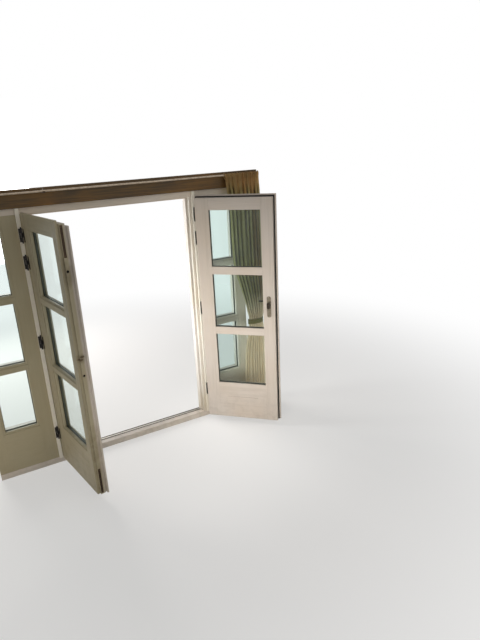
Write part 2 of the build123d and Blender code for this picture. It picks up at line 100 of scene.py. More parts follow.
class Graph:
    """The node tree of one material or world."""

    def __init__(self, owner: Union[bpy.types.Material, bpy.types.World]) -> None:
        """Empty the owner's tree."""
        owner.use_nodes = True
        self.owner = owner
        self.tree = owner.node_tree
        self.tree.nodes.clear()

    def add(self, kind: str, values: Optional[dict] = None, out: Key = 0, **settings: Feed) -> Field:
        """Add a shader node, with its settings before its sockets.

        Args:
            kind: The node's type, without its first word.
            values: Values and links of its sockets, by name or number.
            out: The output to return.
            settings: The node's own settings.

        Returns:
            The chosen output.
        """
        node = self.tree.nodes.new(f"ShaderNode{kind}")
        for key, value in settings.items():
            setattr(node, key, value)
        for key, value in (values or {}).items():
            if isinstance(value, Field):
                self.tree.links.new(value.socket, node.inputs[key])
            else:
                node.inputs[key].default_value = value
        return Field(self, node.outputs[out] if node.outputs else None)

    def place(self, turn: float = 0.0, stretch: tuple = (1, 1, 1)) -> Field:
        """Return Object coordinates, turned about Z by degrees and then stretched."""
        here = self.add("TexCoord", out="Object")
        swung = self.add("Mapping", {0: here, "Rotation": (0, 0, math.radians(turn))})
        return self.stretched(swung, stretch)

    def stretched(self, where: Field, stretch: tuple) -> Field:
        """Return a place with each axis scaled."""
        return self.add("Mapping", {0: where, "Scale": stretch})

    def noise(self, where: Field, scale: float, detail: float = 2.0, bend: float = 0.0) -> Field:
        """Return noise at a place, scale spots to the metre."""
        values = {"Vector": where, "Scale": scale, "Detail": detail, "Distortion": bend}
        return self.add("TexNoise", values)

    def part(self, where: Field, axis: str) -> Field:
        """Return one coordinate of a place."""
        return self.add("SeparateXYZ", {0: where}, out=axis)

    def vector(self, operation: str, first: Field, second: tuple = (0, 0, 0), out: Key = 0) -> Field:
        """Return an output of a Vector Math node."""
        return self.add("VectorMath", {0: first, 1: second}, out, operation=operation)

    def blend(self, share: Feed, first: Feed, second: Feed) -> Field:
        """Return first turning into second as share goes from 0 to 1, with plain colours as seen."""
        first, second = (tone if isinstance(tone, Field) else srgb(*tone) for tone in (first, second))
        return self.add("Mix", {0: share, 6: first, 7: second}, 2, data_type="RGBA")

    def mixed(self, share: Feed, first: Field, second: Field) -> Field:
        """Return the first shader turning into the second as share goes from 0 to 1."""
        return self.add("MixShader", {0: share, 1: first, 2: second})

    def crease(self, reach: float, inside: bool = False) -> Field:
        """Return 1 in corners, or on edges when inside, within a reach in metres."""
        near = {"samples": 6, "inside": inside, "only_local": inside}
        return 1.0 - self.add("AmbientOcclusion", {"Distance": reach}, "AO", **near)

    def surface(self, colour: Feed, rough: Feed, height: Feed, depth: float, **fixed: float) -> Field:
        """Return a Principled shader with a relief.

        Args:
            colour: Base colour.
            rough: Roughness.
            height: Height of the relief, 0 to 1.
            depth: Depth of the relief in metres.
            fixed: Further sockets, with underscores for spaces.

        Returns:
            The shader.
        """
        relief = self.add("Bump", {"Distance": depth, "Height": height})
        values = {"Base Color": colour, "Roughness": rough, "Normal": relief}
        values.update({key.replace("_", " "): value for key, value in fixed.items()})
        return self.add("BsdfPrincipled", values)

    def show(self, shader: Field) -> None:
        """Send a shader to the output."""
        kind = "World" if isinstance(self.owner, bpy.types.World) else "Material"
        self.add(f"Output{kind}", {"Surface": shader})


# Finishes

# The first colour below darkens corners as painted shade, and also real soiling low down and at the marks
GRIME_AND_SHADE = (98, 86, 66)
STREAK = (132, 120, 96)
BARE_WOOD = (148, 122, 90)
RUBBED_STAIN = (140, 108, 78)
DUST = (112, 104, 92)


def scaled(tone: tuple, *shares: float) -> tuple:
    """Return a colour as seen, times one share for all channels or one for each."""
    return tuple(value * share for value, share in zip(tone, shares * (4 - len(shares))))


class Grain(Enum):
    """Which way a timber's grain and brush strokes run."""

    UPRIGHT = (1.0, 1.0, 0.035)
    ACROSS = (0.035, 1.0, 1.0)


@dataclass(frozen=True)
class Mark:
    """A dirty spot, an egg-shaped place with its strength."""

    centre: tuple
    reach: tuple
    strength: float

    def mask(self, graph: Graph) -> Field:
        """Return the spot's mask, 1 in its middle."""
        away = graph.vector("SUBTRACT", graph.place(), self.centre)
        reached = graph.vector("MULTIPLY", away, tuple(1 / reach for reach in self.reach))
        return (1.0 - graph.vector("LENGTH", reached, out="Value").ease(0.25, 1.0)) * self.strength


@dataclass(frozen=True)
class Finish:
    """A procedural finish, made into a material of its name."""

    name: str

    def make(self) -> bpy.types.Material:
        """Build the material."""
        graph = Graph(bpy.data.materials.new(self.name))
        graph.show(self.shader(graph))
        return graph.owner

    def shader(self, graph: Graph) -> Field:
        """Return the finish's shader."""
        raise NotImplementedError


@dataclass(frozen=True)
class PaintedTimber(Finish):
    """Brushed paint over timber, with painted shade in its corners, soiling low down and worn edges."""

    tone: tuple = (209, 199, 188)
    # A darker indoor tone is painted shade; the right side and the outdoor faces turn to plainer paint
    # tones
    right_tone: Optional[tuple] = None
    outdoors: Optional[tuple] = None
    outdoor_tone: tuple = (218, 210, 201)
    grain: Grain = Grain.UPRIGHT
    turn: float = 0.0
    # Strength of the painted corner shade and of the soiling low down
    grime: float = 0.55
    wear: float = 0.5
    streaks: float = 0.15
    marks: tuple = ()

    def shader(self, graph: Graph) -> Field:
        """Lay streaks, brush strokes, painted corner shade, soiling and wear over the paint."""
        here = graph.place(-self.turn)
        along = graph.place(-self.turn, self.grain.value)
        strokes = graph.noise(along, 420, 2, 0.4)
        fibre = graph.noise(along, 95, 3, 1.2)
        cloud = graph.noise(here, 2.2, 3)
        mottle = graph.noise(here, 14, 4, 0.6)
        tint = self.tone
        # Painted shade: the paint is darker and more olive towards the left than towards the right
        if self.right_tone:
            tint = graph.blend(graph.part(here, "X").ease(-0.5, 0.6), tint, self.right_tone)
        # Outdoor faces keep a plain paint tone, free of the painted indoor shade
        if self.outdoors:
            tint = graph.blend(graph.part(here, "Y").ease(*self.outdoors), tint, self.outdoor_tone)
        tint = graph.blend(cloud.ease(0.3, 0.75) * 0.5, tint, scaled(self.tone, 0.97, 0.93, 0.87))
        runs = graph.noise(along, 26, 5, 0.8).ease(0.48, 0.72)
        tint = graph.blend(runs * self.streaks, tint, STREAK)
        patch = strokes.ease(0.35, 0.8) * 0.22 + fibre.ease(0.45, 0.8) * 0.18
        tint = graph.blend(patch, tint, scaled(self.tone, 0.84))
        # Painted shade: darker in corners and recesses, from ambient occlusion; real soiling low down and
        # at the marks is added to it
        corner = graph.crease(0.022).ease(0.32, 0.95)
        splash = (1.0 - graph.part(here, "Z").ease(0.05, 0.42)) * mottle.ease(0.4, 0.75)
        grime_and_corner_shade = (corner * (mottle.ease(0.25, 0.7) * 0.6 + 0.4) + splash * 0.3) * self.grime
        for mark in self.marks:
            grime_and_corner_shade = grime_and_corner_shade + mark.mask(graph) * mottle.ease(0.3, 0.6)
        tint = graph.blend(grime_and_corner_shade.clamp(), tint, GRIME_AND_SHADE)
        chips = graph.noise(here, 55, 4, 0.8).ease(0.5, 0.66)
        edge = graph.crease(0.003, inside=True).ease(0.35, 0.8) * chips
        tint = graph.blend((edge * self.wear).clamp(), tint, BARE_WOOD)
        rough = 0.44 + mottle.ease(0.3, 0.8) * 0.14 + grime_and_corner_shade * 0.25
        relief = strokes * 0.35 + fibre * 0.65 - edge * 0.5
        return graph.surface(tint, rough, relief, 0.00035, Specular_IOR_Level=0.45)


@dataclass(frozen=True)
class StainedTimber(Finish):
    """Dark stained board with open grain and rubbed edges."""

    tone: tuple = (102, 77, 40)

    def shader(self, graph: Graph) -> Field:
        """Lay rings, clouds and rubbed edges over the stain."""
        along = graph.place(0.0, Grain.ACROSS.value)
        here = graph.place()
        rings = graph.noise(along, 42, 4, 2.2)
        pores = graph.noise(along, 380, 2)
        cloud = graph.noise(here, 3.0, 3)
        tint = graph.blend(rings.ease(0.35, 0.7), scaled(self.tone, 0.62), self.tone)
        tint = graph.blend(cloud.ease(0.45, 0.8) * 0.45, tint, scaled(self.tone, 1.45, 1.35, 1.2))
        rubbed = graph.noise(here, 40, 4).ease(0.42, 0.62)
        edge = graph.crease(0.004, inside=True).ease(0.3, 0.8) * rubbed
        tint = graph.blend((edge * 0.7).clamp(), tint, RUBBED_STAIN)
        rough = 0.42 + rings * 0.2 + pores * 0.1
        return graph.surface(tint, rough, rings * 0.6 + pores * 0.4, 0.0006, Specular_IOR_Level=0.4)


@dataclass(frozen=True)
class Metal(Finish):
    """Metal or painted metal with a patina and rubbed edges."""

    tone: tuple
    patina: tuple
    rough: float
    metallic: float = 1.0
    cover: float = 0.5
    brushed: tuple = (1, 1, 1)

    def shader(self, graph: Graph) -> Field:
        """Lay the patina and the rubbed edges over the metal."""
        here = graph.place()
        cloud = graph.noise(here, 60, 4, 0.5)
        fine = graph.noise(graph.place(0.0, self.brushed), 900, 2)
        film = (cloud.ease(0.4, 0.7) * self.cover + graph.crease(0.006).ease(0.3, 0.9) * 0.5).clamp()
        edge = graph.crease(0.0018, inside=True).ease(0.3, 0.8)
        bright = tuple(min(255, value * 1.3 + 18) for value in self.tone)
        tint = graph.blend(film, self.tone, self.patina)
        tint = graph.blend((edge * (1.0 - film) * 0.8).clamp(), tint, bright)
        rough = self.rough + film * 0.22 + fine * 0.08 - edge * 0.1
        return graph.surface(tint, rough, fine * 0.5 + cloud * 0.5, 0.0001, Metallic=self.metallic)


@dataclass(frozen=True)
class Glass(Finish):
    """Clear float glass, faintly green, with a trace of wiping marks."""

    tint: tuple = (0.951, 0.974, 0.968, 1.0)
    gloss: tuple = (0.95, 1.0, 0.97, 1.0)

    def shader(self, graph: Graph) -> Field:
        """Mix clear and mirroring glass by the slant of sight and the wiping marks."""
        wiped = graph.noise(graph.place(20.0, (1.0, 1.0, 0.3)), 9, 4, 1.5).ease(0.5, 0.85)
        slant = graph.add("LayerWeight", {"Blend": 0.5}, out="Facing")
        clear = graph.add("BsdfTransparent", {"Color": self.tint})
        shine = graph.add("BsdfGlossy", {"Color": self.gloss, "Roughness": 0.03})
        share = 0.01 + slant.math("POWER", slant, 5.0) * 0.25 + wiped * 0.01
        return graph.mixed(share, clear, shine)


@dataclass(frozen=True)
class Rubber(Finish):
    """Black seal or dark plastic, dusty in places."""

    tone: tuple = (22, 21, 20)
    rough: float = 0.62

    def shader(self, graph: Graph) -> Field:
        """Lay dust over the rubber."""
        here = graph.place()
        dust = graph.noise(here, 35, 4, 0.7).ease(0.5, 0.8)
        fine = graph.noise(here, 700, 2)
        tint = graph.blend(dust * 0.22, self.tone, DUST)
        return graph.surface(tint, self.rough + dust * 0.2, fine, 0.00015, Specular_IOR_Level=0.35)


@dataclass(frozen=True)
class Linen(Finish):
    """Loose woven cloth, read from the sheet's own UV map in metres."""

    # Besides the tan head tone, these colours are painted light and shade: a dark tone for crease shade,
    # also used for mottling and stitches; a shaded olive middle; a pale backlit edge; a shaded brownish
    # tone on the right; and a pale sunlit foot
    tone: tuple = (206, 160, 102)
    shade: tuple = (70, 64, 38)
    middle: tuple = (118, 112, 58)
    backlit_edge: tuple = (188, 188, 136)
    shade_brown: tuple = (124, 92, 62)
    foot: tuple = (250, 235, 208)
    stitches: tuple = (0.062, 10.0)

    def shader(self, graph: Graph) -> Field:
        """Lay painted light and shade, folds, threads, crease shade and stitches over the cloth."""
        here = graph.add("TexCoord", out="UV")
        across, down = graph.part(here, "X"), graph.part(here, "Y")
        warp = graph.noise(graph.stretched(here, (1, 0.02, 1)), 900, 2)
        weft = graph.noise(graph.stretched(here, (0.02, 1, 1)), 900, 2)
        slub = graph.noise(graph.stretched(here, (1, 0.05, 1)), 130, 3, 0.5)
        fold = graph.noise(graph.stretched(here, (1, 0.06, 1)), 17, 2, 0.3)
        cloud = graph.noise(here, 7, 3)
        weave = warp * 0.5 + weft * 0.5
        # Painted shade: darker olive below the head
        tint = graph.blend(down.ease(0.12, 0.42), self.tone, self.middle)
        below_head = down.ease(0.1, 0.3)
        # Painted shade: browner towards the right, below the head
        tint = graph.blend(across.ease(0.34, 0.66) * below_head * 0.6, tint, self.shade_brown)
        # Painted light: the left edge is lighter as if backlit, and fold ridges lighter as if lit
        lit = (1.0 - across.ease(0.08, 0.42)) * 0.6 + fold.ease(0.47, 0.62) * 0.5
        tint = graph.blend(lit.clamp() * (below_head * 0.7 + 0.3), tint, self.backlit_edge)
        # Painted light: the cloth near its foot turns pale, as if sunlit
        lower = down.ease(1.08, 1.42)
        tint = graph.blend(lower, tint, self.foot)
        tint = graph.blend(cloud.ease(0.4, 0.8) * (0.3 - lower * 0.2), tint, self.shade)
        weave_and_crease_shade = weave.ease(0.4, 0.7) * 0.2 + slub.ease(0.5, 0.8) * 0.2
        # Painted shade: darker in the folds' creases, from ambient occlusion, over the real weave and
        # slubs
        weave_and_crease_shade = weave_and_crease_shade + graph.crease(0.04).ease(0.3, 0.85) * 0.75
        tint = graph.blend(weave_and_crease_shade * (1.0 - lower * 0.75), tint, self.shade)
        top_stitch, hem_stitch = (self.beside(down, at) for at in self.stitches)
        stitch = 1.0 - hem_stitch * top_stitch
        tint = graph.blend(stitch * 0.45, tint, scaled(self.shade, 0.6))
        relief = weave * 0.7 + slub * 0.3 - stitch * 0.6
        face = graph.surface(tint, 0.85, relief, 0.0004, Sheen_Weight=0.25)
        glow = graph.add("BsdfTranslucent", {"Color": tint})
        return graph.mixed(0.45, face, glow)

    @staticmethod
    def beside(down: Field, at: float) -> Field:
        """Return a mask that is 0 on a stitched line at a distance down the cloth."""
        away = down - at
        return away.math("ABSOLUTE", away).ease(0.0006, 0.0018)


# All finishes

SCUFFS = (
    Mark((-0.529, -0.7355, 1.149), (0.02, 0.03, 0.012), 1.1),
    Mark((-0.543, -0.7365, 1.129), (0.028, 0.03, 0.011), 1.1),
    Mark((-0.540, -0.7365, 1.139), (0.045, 0.04, 0.05), 0.5),
    Mark((-0.540, -0.7365, 1.720), (0.05, 0.04, 0.16), 0.5),
    Mark((-0.540, -0.7365, 0.420), (0.05, 0.04, 0.3), 0.3),
)
DRAUGHT = Mark((1.095, -0.545, 1.12), (0.07, 0.07, 0.16), 0.16)
# Painted shade: the left leaf and the left of the frame take a darker olive tone on their indoor faces
# than the right leaf's paint
SHADED = {"tone": (179, 170, 143), "turn": -81.0, "outdoors": (-0.635, -0.6195)}
FRAME_SHADED_LEFT = {"tone": (178, 169, 141), "right_tone": (230, 224, 214), "outdoors": (-0.03, 0.0)}
FRAME_SHADED_LEFT.update(outdoor_tone=(226, 220, 213), grime=0.15, wear=0.12, streaks=0.06)
FINISHES = (
    PaintedTimber("frame_upright_paint", **FRAME_SHADED_LEFT),
    PaintedTimber("frame_across_paint", grain=Grain.ACROSS, **FRAME_SHADED_LEFT),
    PaintedTimber("head_paint", (226, 216, 204), grain=Grain.ACROSS, grime=0.35),
    PaintedTimber("lining_paint", (246, 242, 230), grime=0.08, wear=0.3),
    PaintedTimber("sill_paint", (222, 214, 205), grain=Grain.ACROSS, grime=0.6, wear=0.9),
    # Painted shade: the left leaf's two paints are darker, olive copies of the right leaf's paint
    PaintedTimber("left_upright_paint", streaks=0.5, marks=SCUFFS, **SHADED),
    PaintedTimber("left_across_paint", grain=Grain.ACROSS, streaks=0.35, **SHADED),
    PaintedTimber("right_upright_paint", turn=135.0, wear=0.25, marks=(DRAUGHT,)),
    PaintedTimber("right_across_paint", grain=Grain.ACROSS, turn=135.0, wear=0.25),
    StainedTimber("header_stain"),
    Metal("hinge_black", (30, 28, 26), (58, 50, 42), 0.32, 0.6, 0.35),
    Metal("lock_satin", (150, 140, 122), (104, 92, 74), 0.34, 0.9, 0.5, (1, 1, 0.03)),
    Metal("handle_dark", (62, 55, 47), (36, 31, 26), 0.3, 0.75, 0.4),
    Metal("bolt_bronze", (62, 48, 34), (28, 22, 16), 0.45, 0.7, 0.6, (1, 1, 0.03)),
    Metal("threshold_alloy", (196, 192, 184), (138, 130, 118), 0.36, 0.9, 0.5, (0.02, 1, 1)),
    Metal("rail_cream", (186, 170, 150), (116, 98, 78), 0.38, 0.4, 0.45, (0.02, 1, 1)),
    Metal("bracket_brown", (92, 76, 60), (56, 44, 34), 0.45, 0.6, 0.5),
    Metal("screw_steel", (128, 122, 112), (84, 74, 62), 0.4, 0.9, 0.5),
    Glass("pane_glass"),
    Rubber("seal_black"),
    Rubber("spacer_dark", (84, 88, 80), 0.45),
    # Painted shade for the insides of holes
    Rubber("hollow_dark", (12, 10, 8), 0.9),
    Linen("curtain_linen", stitches=(0.062, 2.13)),
    Linen("band_linen", (150, 138, 78), (96, 88, 46)),
)


class Palette:
    """Every finish of the doors, built once."""

    def __init__(self) -> None:
        """Build the materials."""
        self.made = {finish.name: finish.make() for finish in FINISHES}

    def paint(self, piece: Piece, name: str) -> Piece:
        """Give a piece one finish in place of all it had."""
        piece.data.materials.clear()
        piece.data.materials.append(self.made[name])
        return piece


# Modelling moves

Faces = Callable[[Vector, Vector], bool]


def looks_up(middle: Vector, normal: Vector) -> bool:
    """Choose the faces that look up."""
    return normal.z > 0.9


def only(*pieces: Piece) -> None:
    """Leave edit mode and select just these pieces, the first of them active."""
    if bpy.context.mode != "OBJECT":
        leave()
    bpy.ops.object.select_all(action="DESELECT")
    for piece in pieces:
        piece.select_set(True)
    bpy.context.view_layer.objects.active = pieces[0]


def put(name: str, data: bpy.types.ID) -> Piece:
    """Put an object with this data in the scene."""
    piece = bpy.data.objects.new(name, data)
    bpy.context.collection.objects.link(piece)
    return piece


def fresh(name: str, kind: str, scale: Sequence[float], **settings: object) -> Piece:
    """Add a primitive by itself and bring its place, turn and scale into its mesh."""
    bpy.ops.object.select_all(action="DESELECT")
    getattr(bpy.ops.mesh, f"primitive_{kind}_add")(**settings)
    piece = bpy.context.active_object
    piece.name = piece.data.name = name
    piece.scale = scale
    only(piece)
    bpy.ops.object.transform_apply(location=True, rotation=True, scale=True)
    return piece


def block(name: str, low: tuple, high: tuple) -> Piece:
    """Add a cube that fills the box from low to high."""
    middle = [(a + b) / 2 for a, b in zip(low, high)]
    size = [b - a for a, b in zip(low, high)]
    return fresh(name, "cube", size, size=1, location=middle)


def rod(name: str, radius: float, length: float, sides: int = 24) -> Piece:
    """Add an upright cylinder with its foot at the origin."""
    settings = {"vertices": sides, "radius": radius, "depth": length, "location": (0, 0, length / 2)}
    return fresh(name, "cylinder", (1, 1, 1), **settings)


def pick(piece: Piece, test: Faces = lambda middle, normal: True) -> None:
    """Enter edit mode with the faces chosen whose middle and normal pass the test."""
    only(piece)
    bpy.ops.object.mode_set(mode="EDIT")
    bpy.ops.mesh.select_mode(type="FACE")
    bpy.ops.mesh.select_all(action="DESELECT")
    leave()
    for face in piece.data.polygons:
        face.select = test(face.center, face.normal)
    bpy.ops.object.mode_set(mode="EDIT")


def leave() -> None:
    """Go back to object mode."""
    bpy.ops.object.mode_set(mode="OBJECT")


def push(way: tuple) -> None:
    """Extrude what is chosen along a way."""
    bpy.ops.mesh.extrude_region_move(TRANSFORM_OT_translate={"value": way})


def press(piece: Piece, test: Faces, *moves: tuple) -> None:
    """Inset the faces that pass the test and push them along a way, once for each move."""
    pick(piece, test)
    for rim, way in moves:
        bpy.ops.mesh.inset(thickness=rim)
        push(way)
    leave()


def face_out(piece: Piece) -> None:
    """Merge doubled points and turn all faces outwards."""
    pick(piece)
    bpy.ops.mesh.remove_doubles(threshold=0.00001)
    bpy.ops.mesh.normals_make_consistent(inside=False)
    leave()


def turned(name: str, radius: float, foot: float, steps: tuple, sides: int = 24) -> Piece:
    """Turn a round piece up from a short rod.

    Args:
        name: The piece's name.
        radius: Radius of the rod.
        foot: Height of the rod.
        steps: Rise and new radius of each further ring.
        sides: Sides of the round.

    Returns:
        The piece, upright on the origin, smooth and closed.
    """
    piece = rod(name, radius, foot, sides)
    pick(piece, looks_up)
    height, before = foot, radius
    for rise, after in steps:
        height += rise
        push((0, 0, rise))
        share = after / before
        bpy.ops.transform.resize(value=(share, share, 1), center_override=(0, 0, height))
        before = after
    leave()
    return smooth(piece)


def smooth(piece: Piece, angle: float = 35.0) -> Piece:
    """Shade the faces smooth up to an angle."""
    only(piece)
    bpy.ops.object.shade_smooth_by_angle(angle=math.radians(angle))
    return piece


def modify(piece: Piece, kind: str, live: bool = False, **settings: object) -> Piece:
    """Add a modifier with its settings, and apply it unless it stays live."""
    modifier = piece.modifiers.new(kind.lower(), kind)
    for key, value in settings.items():
        setattr(modifier, key, value)
    if not live:
        only(piece)
        bpy.ops.object.modifier_apply(modifier=modifier.name)
    return piece


def round_edges(piece: Piece, width: float, angle: float = 40.0, live: bool = False) -> Piece:
    """Round the edges that are sharper than an angle with a Bevel."""
    settings = {"width": width, "segments": 2, "limit_method": "ANGLE"}
    modify(piece, "BEVEL", live, angle_limit=math.radians(angle), **settings)
    return piece if live else smooth(piece)


def cut(piece: Piece, tool: Piece) -> Piece:
    """Take a tool's shape out of a piece and remove the tool."""
    modify(piece, "BOOLEAN", operation="DIFFERENCE", object=tool)
    drop(tool)
    return piece


def join(name: str, pieces: Sequence[Piece]) -> Piece:
    """Join pieces into one with a name."""
    only(*pieces)
    if len(pieces) > 1:
        bpy.ops.object.join()
    pieces[0].name = pieces[0].data.name = name
    return pieces[0]


def copies(pattern: Piece, name: str, places: Sequence[Matrix]) -> Piece:
    """Join copies of a pattern, each with its own mesh and place, and keep the pattern."""
    twins = []
    for place in places:
        mesh = pattern.data.copy()
        mesh.transform(place)
        if place.determinant() < 0:
            mesh.flip_normals()
        twins.append(put(name, mesh))
    return join(name, twins)


def drop(*patterns: Piece) -> None:
    """Remove patterns and tools that have done their work."""
    for pattern in patterns:
        bpy.data.objects.remove(pattern)


@dataclass(frozen=True)
class Hang:
    """How a leaf, or what stands still at its pins, is placed in the room."""

    side: int
    turn: float = 0.0
    pin: tuple = (0.680, -0.077, 0.058)

    def at(self, x: float, y: float, z: float) -> Matrix:
        """Return the move that brings a pattern at the origin to a place off the pins."""
        pin = Matrix.Translation((self.side * self.pin[0], *self.pin[1:]))
        turn = Matrix.Rotation(math.radians(self.turn), 4, "Z")
        mirror = Matrix.Diagonal((-self.side, 1, 1, 1))
        return pin @ turn @ mirror @ Matrix.Translation((x, y, z))


LEFT = Hang(-1, -81.0)
RIGHT = Hang(1, 135.0)
LEAVES = {"left": LEFT, "right": RIGHT}
INDOORS = Matrix.Rotation(math.radians(90), 4, "X")
OUTDOORS = Matrix.Rotation(math.radians(-90), 4, "X")
EDGEWAYS = Matrix.Rotation(math.radians(90), 4, "Y")
UPSIDE_DOWN = Matrix.Rotation(math.pi, 4, "X")


# Sub-assemblies


@dataclass
class Assembly:
    """Pieces that belong together, with one palette."""

    palette: Palette

    def give(self, piece: Piece, finish: str, body: str, slot: str) -> Piece:
        """Finish a piece, let it ride on a body and log it.

        Args:
            piece: The piece.
            finish: Name of its finish.
            body: The body it moves with.
            slot: The record's material slot; not used.

        Returns:
            The piece.
        """
        self.palette.paint(piece, finish)
        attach(piece, body)
        log.info("%s rides on %s, %d faces", piece.name, body, len(piece.data.polygons))
        return piece

    def spread(self, pattern: Piece, name: str, places: Sequence[Matrix], *given: str) -> None:
        """Copy a pattern to its places and give the copies a finish and a body."""
        self.give(copies(pattern, name, places), *given)


# The carried-over nodes, by finish
SOLIDS = {
    "sill_paint": "sill",
    "threshold_alloy": "threshold_strip",
    "head_paint": "frame_head",
    "lining_paint": "door_linings",
    "frame_upright_paint": "left_door_post right_door_post left_outer_jamb right_outer_jamb"
    " window_glazing_beads",
    "frame_across_paint": "window_bottom_rails window_top_rails window_glazing_bars",
    "header_stain": "header_board",
    "rail_cream": "curtain_rail",
    "bracket_brown": "rail_brackets",
    "pane_glass": "window_glass left_leaf_glass right_leaf_glass",
    "spacer_dark": "window_glass_spacers left_leaf_glass_spacers right_leaf_glass_spacers",
    "seal_black": "left_leaf_seal right_leaf_seal",
    "hinge_black": "frame_hinges left_leaf_hinges right_leaf_hinges",
    "bolt_bronze": "left_leaf_flush_bolts",
    "lock_satin": "right_leaf_lock_plates right_leaf_lock_cylinder",
    "left_upright_paint": "left_leaf_hinge_stile left_leaf_meeting_stile left_leaf_glazing_beads"
    " left_leaf_cover_strip",
    "left_across_paint": "left_leaf_top_rail left_leaf_bottom_rail left_leaf_glazing_bars",
    "right_upright_paint": "right_leaf_hinge_stile right_leaf_meeting_stile right_leaf_glazing_beads",
    "right_across_paint": "right_leaf_top_rail right_leaf_bottom_rail right_leaf_glazing_bars",
}


@dataclass
class Joinery(Assembly):
    """The carried-over solids, with their finishes and rounded edges."""

    timber_arris: float = 0.0014
    board_arris: float = 0.0028
    metal_arris: float = 0.0005

    def build(self) -> None:
        """Finish every carried-over node, and round the edges of the timber, hinges, bolts, lock and
        threshold.
        """
        for finish, names in SOLIDS.items():
            for name in names.split():
                node = self.palette.paint(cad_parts[name], finish)
                if finish == "header_stain":
                    self.round_off(node, self.board_arris)
                elif finish.endswith("paint"):
                    self.round_off(node, self.timber_arris)
                elif finish in ("hinge_black", "bolt_bronze", "lock_satin", "threshold_alloy"):
                    self.round_off(node, self.metal_arris)
                log.info("%s finished in %s", name, finish)

    @staticmethod
    def round_off(node: Piece, width: float) -> None:
        """Weld a node's triangles to whole faces and round its sharp edges, as live modifiers."""
        modify(node, "WELD", live=True, merge_threshold=0.00002)
        flat = math.radians(0.5)
        modify(node, "DECIMATE", live=True, decimate_type="DISSOLVE", angle_limit=flat)
        round_edges(node, width, angle=38.0, live=True)


